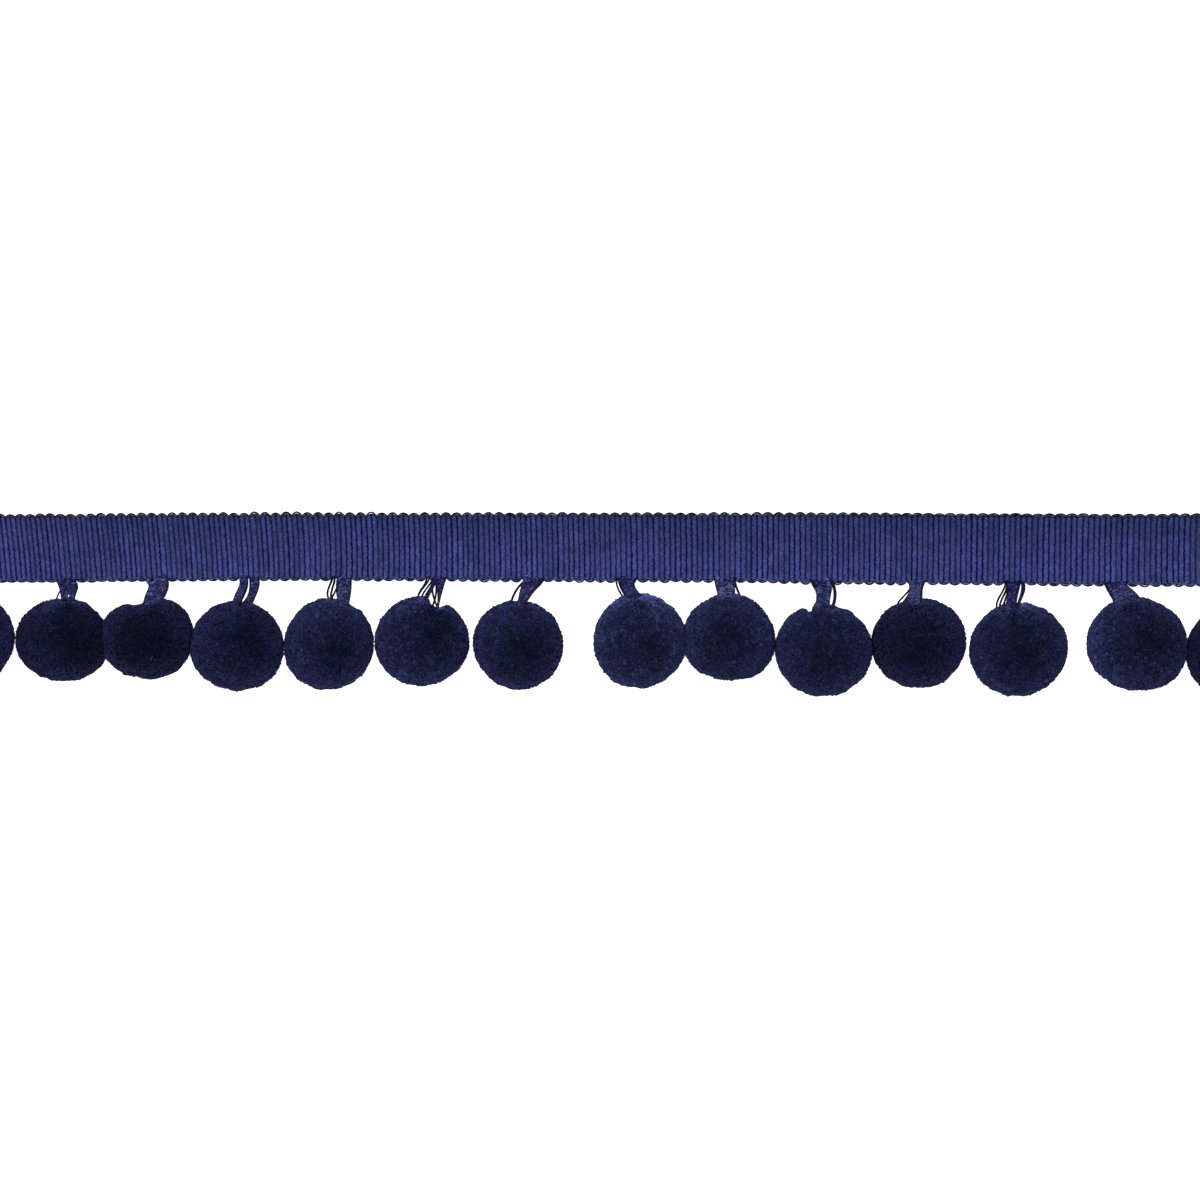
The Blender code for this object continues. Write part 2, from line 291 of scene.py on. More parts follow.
# One row for each flat plait of a stem: its middle along X from the stem's root and its width,
# both at the four places of CORD_PLACES, how steeply its strands cross, and how light it is.
Plait = namedtuple(
    "Plait", "stem top upper lower foot top_wide upper_wide lower_wide foot_wide cross tone"
)
PLAITS = (
    Plait(0, 0.0, -0.15, -0.35, -0.55, 5.4, 4.8, 4.4, 4.4, 1.2, 0.6),
    Plait(1, -0.8, -0.2, 0.08, 0.85, 4.0, 3.3, 2.26, 3.0, 0.9, 0.3),
    Plait(1, 0.85, 1.26, 2.16, 1.7, 3.7, 3.8, 1.62, 4.5, 0.9, 0.3),
    Plait(2, -0.06, 0.58, 0.02, -0.54, 5.7, 5.7, 5.5, 5.1, 1.6, 0.5),
    Plait(3, -1.36, -1.37, -1.95, -2.71, 2.5, 2.6, 2.9, 2.3, 1.2, 0.55),
    Plait(3, 1.58, 1.77, 1.4, 0.38, 2.7, 2.6, 2.4, 2.9, 1.2, 0.55),
    Plait(4, 0.8, 0.81, 1.01, 1.06, 4.2, 4.4, 4.0, 3.3, 1.5, 0.45),
    Plait(5, -0.73, -0.87, -1.6, -2.35, 2.0, 1.2, 0.9, 0.8, 0.8, 0.25),
    Plait(5, 1.15, 1.19, 1.04, 0.83, 3.4, 1.9, 1.0, 0.6, 0.8, 0.3),
    Plait(6, 0.17, -1.04, -2.05, -2.88, 5.6, 4.4, 3.4, 2.3, 1.2, 0.7),
    Plait(7, 0.39, 0.25, 1.01, 1.84, 4.5, 3.8, 3.8, 4.3, 1.4, 0.36),
    Plait(8, 0.09, 0.15, 0.26, 0.37, 5.9, 5.6, 5.2, 5.1, 1.5, 0.7),
    Plait(9, -0.03, 0.3, 0.11, -0.4, 6.0, 4.9, 4.0, 5.0, 1.3, 0.45),
    Plait(10, -0.16, -0.4, -0.8, -1.5, 4.8, 3.9, 4.1, 5.0, 1.4, 0.65),
    Plait(11, -0.73, -0.74, -1.48, -2.04, 4.4, 2.9, 2.7, 2.8, 0.9, 0.22),
    Plait(11, 2.25, 2.02, 1.0, 0.06, 1.3, 1.3, 1.1, 1.0, 0.9, 0.15),
    Plait(12, -0.33, 0.21, 1.15, 1.89, 6.3, 6.2, 6.9, 7.5, 1.3, 0.42),
    Plait(13, 0.1, 0.5, 1.2, 1.9, 5.4, 5.0, 4.7, 4.6, 1.2, 0.6),
)

# One row for each loose dark thread beside a plait: its stem, its four places along X and its
# width.
Thread = namedtuple("Thread", "stem top upper lower foot width")
THREADS = (
    Thread(1, -0.56, -0.9, -1.71, -1.42, 0.5),
    Thread(1, 2.11, 3.17, 2.86, 3.98, 0.65),
    Thread(2, 2.73, 3.21, 2.81, 1.99, 0.7),
    Thread(3, -0.44, -0.33, -0.86, -1.78, 0.72),
    Thread(3, 0.47, 0.71, 0.47, -0.73, 0.64),
    Thread(3, 2.8, 2.84, 2.27, 1.52, 0.64),
    Thread(4, -2.53, -3.2, -3.4, -1.6, 0.68),
    Thread(4, -1.81, -2.13, -2.44, -1.79, 0.68),
    Thread(4, -0.49, -0.87, -1.65, -2.47, 0.6),
    Thread(4, 2.73, 2.81, 2.75, 2.42, 0.6),
    Thread(5, -2.61, -3.42, -4.49, -4.63, 0.6),
    Thread(5, -1.92, -3.02, -4.28, -4.6, 0.5),
    Thread(5, -0.74, -2.05, -3.28, -3.94, 0.6),
    Thread(5, -0.67, -1.27, -2.3, -3.02, 0.6),
    Thread(5, -0.59, -0.96, -0.38, 0.73, 0.6),
    Thread(5, -0.04, 0.14, 0.08, -0.51, 0.6),
    Thread(5, 2.33, 1.76, 1.24, 0.81, 0.65),
    Thread(6, -1.68, -3.97, -5.17, -5.87, 0.75),
    Thread(6, 2.75, 0.99, -0.62, -1.9, 0.65),
    Thread(7, -2.75, -2.67, -1.82, -0.7, 0.6),
    Thread(7, -2.18, -1.82, -0.95, 0.06, 0.65),
    Thread(7, 2.43, 2.02, 3.02, 4.59, 0.65),
    Thread(8, 2.76, 3.1, 3.7, 4.19, 0.74),
    Thread(8, -2.69, -2.43, -2.11, -1.92, 0.55),
    Thread(9, 2.81, 3.43, 3.25, 2.47, 1.04),
    Thread(9, -2.71, -1.6, -1.69, -1.91, 0.55),
    Thread(10, -2.14, -2.41, -4.6, -6.1, 0.6),
    Thread(10, -1.52, -2.0, -3.52, -5.4, 0.45),
    Thread(10, -2.25, -2, -2.74, -3.47, 0.8),
    Thread(10, 2.04, 1.23, 0.74, 0.46, 0.65),
    Thread(11, -2.58, -3.77, -5.36, -5.83, 0.64),
    Thread(11, -2.1, -2.88, -4.34, -5.13, 0.65),
    Thread(11, -1.72, -2.22, -3.29, -4.24, 0.68),
    Thread(11, 1.27, 0.57, -0.25, -0.87, 0.74),
    Thread(12, -3.15, -2.34, -1.81, -1.77, 0.68),
    Thread(12, 2.64, 3.37, 4.92, 6.03, 0.7),
)


def linear(level):
    """One screen colour level of 0 to 255 as the renderer's linear value."""
    share = level / 255
    return share / 12.92 if share <= 0.04045 else ((share + 0.055) / 1.055) ** 2.4


def colour(red, green, blue):
    return (linear(red), linear(green), linear(blue), 1)


class Nodes:
    """A short way to write one material's node tree."""

    def __init__(self, name):
        self.material = bpy.data.materials.new(name)
        self.material.use_nodes = True
        self.tree = self.material.node_tree
        self.shader = self.tree.nodes["Principled BSDF"]

    def add(self, kind, inputs=(), **settings):
        node = self.tree.nodes.new(kind)
        for key, value in settings.items():
            setattr(node, key, value)
        for key, value in dict(inputs).items():
            self.set(node.inputs[key], value)
        return node

    def set(self, socket, value):
        if isinstance(value, bpy.types.NodeSocket):
            self.tree.links.new(value, socket)
        else:
            socket.default_value = value

    def math(self, operation, first, second=0.0):
        node = self.add("ShaderNodeMath", {0: first, 1: second}, operation=operation)
        return node.outputs[0]

    def times(self, first, second):
        return self.math("MULTIPLY", first, second)

    def noise(self, vector, scale, detail=2.0):
        node = self.add("ShaderNodeTexNoise", {"Vector": vector, "Scale": scale, "Detail": detail})
        return node.outputs["Fac"]

    def remap(self, value, low, high, new_low, new_high):
        inputs = {"Value": value, 1: low, 2: high, 3: new_low, 4: new_high}
        return self.add("ShaderNodeMapRange", inputs).outputs[0]

    def mix(self, share, first, second):
        node = self.add("ShaderNodeMix", data_type="RGBA")
        self.set(node.inputs[0], share)
        self.set(node.inputs[6], first)
        self.set(node.inputs[7], second)
        return node.outputs[2]

    def scaled(self, tint, share):
        node = self.add("ShaderNodeVectorMath", operation="SCALE")
        self.set(node.inputs[0], tint)
        self.set(node.inputs["Scale"], share)
        return node.outputs[0]

    def attribute(self, name, output):
        return self.add("ShaderNodeAttribute", attribute_name=name).outputs[output]

    def finish(self, tint, roughness, height, distance, specular, sheen, sheen_tint):
        """Join it all to the shader, with height as a bump of a distance in millimetres."""
        self.set(self.shader.inputs["Base Color"], tint)
        self.set(self.shader.inputs["Roughness"], roughness)
        self.shader.inputs["Specular IOR Level"].default_value = specular
        self.shader.inputs["Sheen Weight"].default_value = sheen
        self.shader.inputs["Sheen Roughness"].default_value = SHEEN_ROUGHNESS
        self.shader.inputs["Sheen Tint"].default_value = sheen_tint
        bump = self.add("ShaderNodeBump", {"Height": height, "Distance": distance * MM})
        self.set(self.shader.inputs["Normal"], bump.outputs[0])
        return self.material


def heading_material():
    """Fine warp threads over round ribs, from the map of rib count and place along the rib."""
    nodes = Nodes("heading_yarn")
    weave = nodes.add("ShaderNodeUVMap", uv_map="weave").outputs[0]
    split = nodes.add("ShaderNodeSeparateXYZ", {0: weave})
    ribs, along_rib = split.outputs[0], split.outputs[1]
    rib = nodes.math("FLOOR", ribs)
    each = nodes.add("ShaderNodeTexWhiteNoise", {"W": rib}, noise_dimensions="1D").outputs[0]
    stretch = {0: weave, 1: (0.9, 1.4, 0)}
    stretched = nodes.add("ShaderNodeVectorMath", stretch, operation="MULTIPLY").outputs[0]
    wiggle = nodes.noise(stretched, 1.0, 2.0)
    wandering = nodes.math("ADD", ribs, nodes.remap(wiggle, 0.3, 0.7, -0.13, 0.13))
    crest = nodes.math("PINGPONG", wandering, 0.5)
    crest = nodes.remap(crest, 0.04, 0.27, 0.0, 1.0)
    # The grooves between the ribs are darker, partly where the warp dives between the ribs and
    # partly painted shade, more in some grooves than in others.
    groove = nodes.math("ROUND", ribs)
    deep = nodes.add("ShaderNodeTexWhiteNoise", {"W": groove}, noise_dimensions="1D").outputs[0]
    dark = nodes.math("SUBTRACT", 1.0, crest)
    dark = nodes.times(dark, nodes.remap(deep, 0.0, 1.0, 0.74, 1.12))
    crest = nodes.math("SUBTRACT", 1.0, dark)
    shifted = nodes.math("ADD", along_rib, nodes.times(each, 0.35))
    thread = nodes.math("PINGPONG", shifted, 0.32)
    thread = nodes.remap(thread, 0.03, 0.28, 0.0, 1.0)
    place = nodes.add("ShaderNodeTexCoord").outputs["Object"]
    broad = nodes.noise(place, 90.0)
    mottled = nodes.noise(place, 1150.0, 4.0)
    fine = nodes.noise(place, 2600.0, 3.0)
    # Patches where the light thread tops, partly painted highlight, show more or less.
    wear_and_highlight = nodes.remap(nodes.noise(place, 230.0), 0.4, 0.6, 0.2, 1.0)
    woven = nodes.times(thread, wear_and_highlight)
    face = nodes.attribute("face", "Fac")
    # From the grooves' dark blue, partly painted shade, to the ribs' own blue.
    tint = nodes.mix(crest, colour(0, 5, 74), colour(57, 65, 114))
    # Ribs of several shades, mottled, with light thread tops, partly the threads and partly
    # painted highlight. They are darker towards the upper edge, and painted shade darkens them
    # where the band rounds over.
    shade = nodes.remap(each, 0.0, 1.0, 0.88, 1.12)
    shade = nodes.times(shade, nodes.remap(mottled, 0.33, 0.67, 0.68, 1.32))
    shade = nodes.times(shade, nodes.remap(broad, 0.3, 0.7, 0.92, 1.08))
    shade = nodes.times(shade, nodes.remap(woven, 0.0, 1.0, 0.86, 1.36))
    shade = nodes.times(shade, nodes.remap(along_rib, 0.0, 18.7, 1.07, 0.62))
    shade = nodes.times(shade, nodes.remap(face, 0.2, 0.9, 0.5, 1.0))
    tint = nodes.scaled(tint, shade)
    rough = nodes.remap(mottled, 0.3, 0.7, 0.6, 0.8)
    height = nodes.math("ADD", thread, nodes.times(fine, 0.8))
    return nodes.finish(tint, rough, height, 0.05, 0.03, 0.03, colour(120, 130, 190))


def yarn_material(name, dark, light, specular):
    """Plied yarn: strands of several shades, with painted shade down between them and at a cord's
    sides.
    """
    nodes = Nodes(name)
    place = nodes.add("ShaderNodeTexCoord").outputs["Object"]
    mottled = nodes.noise(place, 2100.0, 3.0)
    fine = nodes.noise(place, 3500.0, 3.0)
    strand = nodes.attribute("strand", "Fac")
    share = nodes.times(strand, nodes.remap(mottled, 0.42, 0.6, 0.0, 2.4))
    tint = nodes.mix(nodes.add("ShaderNodeClamp", {0: share}).outputs[0], dark, light)
    specks = nodes.remap(nodes.noise(place, 1100.0, 3.0), 0.38, 0.57, 0.3, 1.3)
    # Small specks, and the painted shade that each tube carries in its open attribute.
    tint = nodes.scaled(tint, nodes.times(specks, nodes.attribute("open", "Fac")))
    rough = nodes.remap(fine, 0.3, 0.7, 0.5, 0.75)
    return nodes.finish(tint, rough, fine, 0.06, specular, 0.03, colour(120, 130, 190))


def pile_material():
    """Cut strands, each of a tone of its own, with painted shade down between them and on their
    cut ends.
    """
    nodes = Nodes("pile_yarn")
    tone = nodes.attribute("tone", "Fac")
    out = nodes.attribute("out", "Fac")
    place = nodes.add("ShaderNodeTexCoord").outputs["Object"]
    fine = nodes.noise(place, 2500.0, 2.0)
    bright = nodes.remap(tone, 0.5, 2.2, 0.0, 1.0)
    tip = nodes.mix(bright, colour(32, 42, 82), colour(39, 46, 80))
    # Painted shade down the pile: dark at the strands' roots and in the core, their own colour at
    # their cut ends.
    tint = nodes.mix(out, colour(4, 8, 18), tip)
    patches = nodes.remap(nodes.noise(place, 260.0, 3.0), 0.3, 0.7, 0.66, 1.3)
    # The cut ends are painted darker as shade; the tone holds the painted light and shade of the
    # sides.
    shade = nodes.times(tone, nodes.attribute("end", "Fac"))
    tint = nodes.scaled(tint, nodes.times(shade, patches))
    rough = nodes.remap(fine, 0.3, 0.7, 0.75, 0.95)
    return nodes.finish(tint, rough, fine, 0.03, 0.05, 0.5, colour(84, 84, 152))


def pieces_collection():
    made = bpy.data.collections.new("ball_fringe")
    bpy.context.scene.collection.children.link(made)
    return made


def new_piece(name, points, faces, material):
    """A smooth mesh object from points in millimetres. faces are lists of point numbers."""
    data = bpy.data.meshes.new(name)
    data.from_pydata((np.asarray(points) * MM).tolist(), [], faces)
    data.polygons.foreach_set("use_smooth", [True] * len(data.polygons))
    data.materials.append(material)
    data.update()
    made = bpy.data.objects.new(name, data)
    PIECES.objects.link(made)
    return made


def triangle_piece(name, points, triangles, material):
    """A faceted mesh object from very many triangles."""
    data = bpy.data.meshes.new(name)
    data.vertices.add(len(points))
    data.vertices.foreach_set("co", (points * MM).astype(np.float32).ravel())
    data.loops.add(triangles.size)
    data.loops.foreach_set("vertex_index", triangles.astype(np.int32).ravel())
    data.polygons.add(len(triangles))
    data.polygons.foreach_set("loop_start", np.arange(0, triangles.size, 3, dtype=np.int32))
    data.materials.append(material)
    data.update(calc_edges=True)
    data.validate()
    made = bpy.data.objects.new(name, data)
    PIECES.objects.link(made)
    return made


def set_values(piece, name, values, domain="POINT"):
    held = piece.data.attributes.new(name, "FLOAT", domain)
    held.data.foreach_set("value", np.asarray(values, np.float32))


def along(column, ribs):
    """A column of STATIONS at places along the heading, counted in ribs from the first stem."""
    repeats = np.asarray(ribs, float) / RIBS_PER_REPEAT
    before = np.clip(np.floor(repeats).astype(int), 0, len(STATIONS) - 2)
    values = np.array([getattr(row, column) for row in STATIONS])
    return values[before] + (values[before + 1] - values[before]) * (repeats - before)


def loop_reach(ribs):
    """From 0 at a loop's notches to 1 at its crest."""
    from_middle = np.mod(ribs, LOOP_RIBS) / (LOOP_RIBS / 2) - 1
    return np.sqrt(np.maximum(1 - from_middle**2, 0))


def in_stem(ribs):
    """Whether the ribs are among those that go on into a stem."""
    from_stem = np.mod(ribs + RIBS_PER_REPEAT / 2, RIBS_PER_REPEAT) - RIBS_PER_REPEAT / 2
    return np.abs(from_stem) < STEM_RIBS / 2


def leaning_x(ribs, y):
    """Where the ribs are along X at a place across the heading."""
    lower = along("lower", ribs)
    share = (y - lower) / (along("upper", ribs) - lower)
    bow = along("bow", ribs) * 4 * share * (1 - share)
    return along("root", ribs) + along("lean", ribs) * share + bow


def make_heading(rng):
    """The ribbed band as one closed skin, a ring of points round it at each step along it."""
    whole = np.arange(RIBS_IN_ALL)
    ribs = np.append((whole[:, None] + RIB_PLACES).ravel(), RIBS_IN_ALL) - END_RIBS
    columns = len(ribs)
    round_over = np.append(np.tile(RIB_HEIGHTS, RIBS_IN_ALL), RIB_HEIGHTS[0])
    groove = np.floor(ribs + END_RIBS).astype(int)
    size = 1 + RIB_SIZE_UNEVEN * rng.standard_normal(RIBS_IN_ALL + 1)[groove]
    face = GROOVE_TOP + (CREST_TOP - GROOVE_TOP) * np.clip(round_over * size, 0, 1)
    back = GROOVE_BACK * (1 - round_over)
    lower_bulge = LOWER_BULGE * along("lower_size", ribs) * loop_reach(ribs)
    upper_bulge = UPPER_BULGE * along("upper_size", ribs) * loop_reach(ribs + UPPER_LOOP_SHIFT)
    lower = along("lower", ribs) + LOWER_INSET - lower_bulge * ~in_stem(ribs)
    upper = along("upper", ribs) - UPPER_INSET + upper_bulge
    phase = rng.uniform(0, 2 * math.pi, (2, RIBS_IN_ALL + 2))
    apart = RIB_UNEVEN * rng.standard_normal(RIBS_IN_ALL + 2)
    part = ribs + END_RIBS - groove

    def ring_point(y, share):
        up = y - along("lower", ribs)
        wander = 0.0
        for number, weight in ((groove, 1 - part), (groove + 1, part)):
            wave = np.sin(up / LONG_WAVE + phase[0][number])
            wave += SHORT_SHARE * np.sin(up / SHORT_WAVE + phase[1][number])
            wander = wander + weight * (RIB_WANDER * wave + apart[number])
        return np.stack([leaning_x(ribs, y) + wander, y, back + share * (face - back)], 1), up

    low, high = lower + EDGE_INSETS[0], upper - EDGE_INSETS[0]
    rings = []
    for inset, share in zip(reversed(EDGE_INSETS), reversed(EDGE_SHARES)):
        rings.append((*ring_point(lower + inset, share), inset / EDGE_INSETS[0]))
    for row in range(1, FACE_ROWS + 1):
        step = row / (FACE_ROWS + 1)
        rings.append((*ring_point(low + (high - low) * step, 1.0), 1.0))
    for inset, share in zip(EDGE_INSETS, EDGE_SHARES):
        rings.append((*ring_point(upper - inset, share), inset / EDGE_INSETS[0]))
    for row in range(1, BACK_ROWS + 1):
        step = row / (BACK_ROWS + 1)
        rings.append((*ring_point(high + (low - high) * step, 0.0), 1.0))
    rows = len(rings)
    points = np.stack([ring[0] for ring in rings], 1).reshape(-1, 3)
    up = np.stack([np.broadcast_to(ring[1], ribs.shape) for ring in rings], 1).ravel()
    counts = np.repeat(ribs, rows)
    faces = []
    for column in range(columns - 1):
        base = column * rows
        for row in range(rows):
            here, there = base + row, base + (row + 1) % rows
            faces.append((here, there, rows + there, rows + here))
    faces.append(tuple(reversed(range(rows))))
    faces.append(tuple(range((columns - 1) * rows, columns * rows)))
    made = new_piece("heading_band", points, faces, heading_material())
    # Painted shade where the band rounds over at its edges, but not where the ribs go on into a
    # stem.
    rounded_shade = np.tile([ring[2] for ring in rings], (columns, 1))
    rounded_shade[in_stem(ribs), : len(EDGE_INSETS)] = 1.0
    set_values(made, "face", rounded_shade.ravel())
    weave = made.data.uv_layers.new(name="weave")
    corners = np.empty(len(made.data.loops), np.int32)
    made.data.loops.foreach_get("vertex_index", corners)
    places = np.stack([counts[corners], up[corners]], 1)
    # The cut ends, which are the last two faces, take the colour of the middle of a rib.
    places[-2 * rows :, 0] += 0.5
    weave.data.foreach_set("uv", places.astype(np.float32).ravel())
    return made


def unit(vectors):
    return vectors / np.linalg.norm(vectors, axis=-1, keepdims=True)


class Tubes:
    """Closed tubes along paths, gathered into one mesh."""

    def __init__(self):
        self.points = []
        self.faces = []
        self.strand = []
        self.open = []
        self.count = 0

    def add(self, path, radius, sides, strand, shade=1.0):
        path = np.asarray(path, float)
        forward = unit(np.gradient(path, axis=0))
        side = unit(np.cross(forward, TUBE_UP))
        over = np.cross(side, forward)
        turns = np.arange(sides) * 2 * math.pi / sides
        radius = np.broadcast_to(radius, len(path))
        ring = (
            path[:, None]
            + radius[:, None, None] * np.cos(turns)[None, :, None] * side[:, None]
            + radius[:, None, None] * np.sin(turns)[None, :, None] * over[:, None]
        )
        ring[..., 2] = np.maximum(ring[..., 2], LOWEST)
        self.points.append(ring.reshape(-1, 3))
        base, steps = self.count, len(path)
        for step in range(steps - 1):
            here, there = base + step * sides, base + (step + 1) * sides
            for turn in range(sides):
                after = (turn + 1) % sides
                self.faces.append((here + turn, there + turn, there + after, here + after))
        self.faces.append(tuple(base + turn for turn in range(sides)))
        last = base + (steps - 1) * sides
        self.faces.append(tuple(last + turn for turn in reversed(range(sides))))
        self.strand.append(np.full(steps * sides, strand))
        self.open.append(np.repeat(np.broadcast_to(shade, steps), sides))
        self.count += steps * sides

    def piece(self, name, material):
        made = new_piece(name, np.concatenate(self.points), self.faces, material)
        set_values(made, "strand", np.concatenate(self.strand))
        set_values(made, "open", np.concatenate(self.open))
        return made


def make_loops(name, edge, outward, loops, material, rng):
    """The weft loops along one edge, but for where the stems come out of the lower one."""
    first = -END_RIBS + (UPPER_LOOP_SHIFT if edge == "upper" else 0)
    share = np.linspace(0, 1, LOOP_STEPS)
    arch = np.sin(math.pi * share) ** LOOP_ROUNDNESS
    tubes = Tubes()
    for start in range(first, RIBS_IN_ALL - END_RIBS - 1, LOOP_RIBS):
        if edge == "lower" and in_stem(start + LOOP_RIBS / 2):
            continue
        ribs = start + LOOP_RIBS * share
        full = along(edge + "_size", ribs)
        size = full * (1 + LOOP_SIZE_UNEVEN * rng.uniform(-1, 1)) * arch
        size += LOOP_RAISE * np.maximum(1 - full, 0)
        for loop in loops:
            reach = loop.start + loop.reach * size + LOOP_REACH_UNEVEN * rng.uniform(-1, 1)
            y = along(edge, ribs) + outward * reach
            z = loop.height * (FOOT_HEIGHT_SHARE + (1 - FOOT_HEIGHT_SHARE) * arch)
            radius = loop.radius * (FOOT_RADIUS_SHARE + (1 - FOOT_RADIUS_SHARE) * arch)
            radius *= rng.uniform(*LOOP_RADIUS_SHARES)
            # A lighter strand is a painted highlight along the dark loop.
            tone = loop.tone * rng.uniform(*LOOP_TONE_SHARES) + LOOP_TONE_ADDED * rng.uniform()
            tubes.add(np.stack([leaning_x(ribs, y), y, z], 1), radius, LOOP_SIDES, tone)
    return tubes.piece(name, material)


def open_reach(ball, directions):
    """From a pompom's middle to its pile's tips, where nothing presses on it."""
    turn = np.degrees(np.arctan2(directions[:, 1], directions[:, 0]))
    level = 1 - directions[:, 2] ** 2
    oval = ball.oval * np.cos(np.radians(2 * (turn - ball.oval_turn)))
    tri = ball.tri * np.cos(np.radians(3 * (turn - ball.tri_turn)))
    from_dent = np.mod(turn - ball.dent_turn + 180, 360) - 180
    dent = ball.dent * np.exp(-((from_dent / ball.dent_spread) ** DENT_SQUARENESS))
    return ball.across / 2 + level * (oval + tri - dent)


def middle_height(ball):
    """A pompom's middle over the floor, a little sunk on its flat spot."""
    return SINK * (ball.across / 2 + LOCK_PROUD)


def neighbours(index):
    """The pompoms beside one, each with how far its middle is and in which direction."""
    ball = POMPOMS[index]
    for other in POMPOMS[max(index - 1, 0) : index] + POMPOMS[index + 1 : index + 2]:
        apart = np.array([other.x - ball.x, other.y - ball.y, 0.0])
        distance = np.linalg.norm(apart)
        yield other, distance, apart / distance


def held_by(wall, facing, reach):
    """The reach again, no further than a flat wall that the directions face by so much."""
    allowed = wall / np.maximum(facing, LEAST_FACING)
    return np.where(facing > LEAST_FACING, np.minimum(reach, allowed), reach)


def pressed_reach(index, directions, reach):
    """The reach again, no further than the neighbours and the floor allow."""
    ball = POMPOMS[index]
    for other, distance, towards in neighbours(index):
        own = open_reach(ball, towards[None])[0]
        theirs = open_reach(other, -towards[None])[0]
        wall = distance * own / (own + theirs) - PILE_GAP
        reach = held_by(wall, directions @ towards, reach)
    return held_by(middle_height(ball) - PILE_GAP, -directions[:, 2], reach)


def spread_directions(count, rng, jitter):
    """Directions spread evenly over a ball, each moved a little."""
    steps = np.arange(count) + 0.5
    z = 1 - 2 * steps / count
    turn = math.pi * (1 + math.sqrt(5)) * steps
    level = np.sqrt(1 - z**2)
    made = np.stack([level * np.cos(turn), level * np.sin(turn), z], 1)
    return unit(made + jitter * rng.standard_normal(made.shape))


def random_turn(rng):
    """A random turn of a whole ball."""
    made, _ = np.linalg.qr(rng.standard_normal((3, 3)))
    return made


def shoulder_direction(ball, x):
    """From a pompom's middle to where a cord at this place along X goes into its pile."""
    aside = (x - ball.x) / (ball.across / 2)
    rise = math.radians(ENTRY_RISE)
    level = math.sqrt(1 - aside**2)
    return np.array([aside * math.cos(rise), level * math.cos(rise), math.sin(rise)])


def entry_direction(index):
    """From a pompom's middle to where the middle of its stem goes in."""
    ends = [plait.foot for plait in PLAITS if plait.stem == index]
    return shoulder_direction(POMPOMS[index], STATIONS[index].root + sum(ends) / len(ends))


def pile_layout(rng):
    """The fibres of a ball and the tuft each is in, for every ball with a turn of its own."""
    fibres = spread_directions(FIBRES, rng, FIBRE_JITTER)
    tufts = spread_directions(TUFTS, rng, TUFT_JITTER)
    tree = KDTree(len(tufts))
    for number, tuft in enumerate(tufts):
        tree.insert(Vector(tuft), number)
    tree.balance()
    nearest = np.empty(len(fibres), int)
    border = np.empty(len(fibres))
    for number, fibre in enumerate(fibres):
        (_, first, near), (_, _, second) = tree.find_n(Vector(fibre), 2)
        nearest[number] = first
        border[number] = near / second
    return fibres, tufts, nearest, border


def parted_share(entry, directions):
    """How far the pile is parted where the stem lies in it, from 0 to 1."""
    outward = unit(entry * (1, 1, 0))
    across = np.cross((0.0, 0.0, 1.0), outward)
    aside = np.degrees(np.arctan2(directions @ across, directions @ outward))
    above = np.degrees(np.arcsin(np.clip(directions[:, 2], -1, 1))) - PART_RISE
    return np.exp(-((aside / PART_SPREAD) ** 2) - (above / PART_HEIGHT) ** 2)


def fan_streaks(tips, entry, from_entry, rng):
    """Light streaks that fan out in the pile from where the stem goes in."""
    aside = unit(np.cross(entry, (0.0, 0.0, 1.0)))
    around = np.arctan2(tips @ np.cross(aside, entry), tips @ aside)
    streak = np.floor((around / (2 * math.pi) + 0.5) * FAN_STREAKS).astype(int) % FAN_STREAKS
    light = np.maximum(rng.uniform(*FAN_LIGHTS, FAN_STREAKS), 0)
    return light[streak] * np.exp(-((from_entry / FAN_SPREAD) ** 2))


def side_light_and_shade(index, tips):
    """Painted light and shade: how light each strand is by the side of the pompom that it is on.
    """
    made = np.ones(len(tips))
    for side in SIDES:
        if side.pompom == index:
            angle = math.radians(side.angle)
            apart = np.degrees(np.arccos(tips @ (math.cos(angle), math.sin(angle), 0.0)))
            made *= side.tone ** np.exp(-((apart / side.spread) ** 2))
    return made


def swells(index, directions, rng):
    """Low swells all over a ball but for where it meets its neighbours."""
    waves = unit(rng.standard_normal((SWELLS, 3))) * rng.uniform(*SWELL_WAVES, (SWELLS, 1))
    swell = SWELL * np.sin(directions @ waves.T + rng.uniform(0, 2 * math.pi, SWELLS)).sum(1)
    for _, _, towards in neighbours(index):
        swell = swell * (1 - np.clip(directions @ towards, 0, 1) ** SWELL_EASE)
    return swell


def cut_strands(ends, grown, rng):
    """Points and triangles of a thin spike for each strand, from its root to its cut end."""
    count = len(ends)
    length = FIBRE_LENGTH + FIBRE_LENGTH_UNEVEN * rng.standard_normal(count)
    side = unit(np.cross(grown, rng.standard_normal(grown.shape)))
    over = np.cross(grown, side)
    half = FIBRE_HALF * (1 + FIBRE_HALF_UNEVEN * rng.standard_normal(count))[:, None]
    places = [ends - grown * length[:, None]]
    for corner in range(3):
        turn = 2 * math.pi * corner / 3
        tilt = FIBRE_TILT * rng.standard_normal(count)[:, None]
        beside = math.cos(turn) * side + math.sin(turn) * over
        places.append(ends + half * beside + tilt * grown)
    points = np.concatenate(places)
    points[:, 2] = np.maximum(points[:, 2], LOWEST)
    root, a, b, c = (np.arange(count) + count * step for step in range(4))
    sides = ((a, b, c), (root, b, a), (root, c, b), (root, a, c))
    return points, np.concatenate([np.stack(corners, 1) for corners in sides])


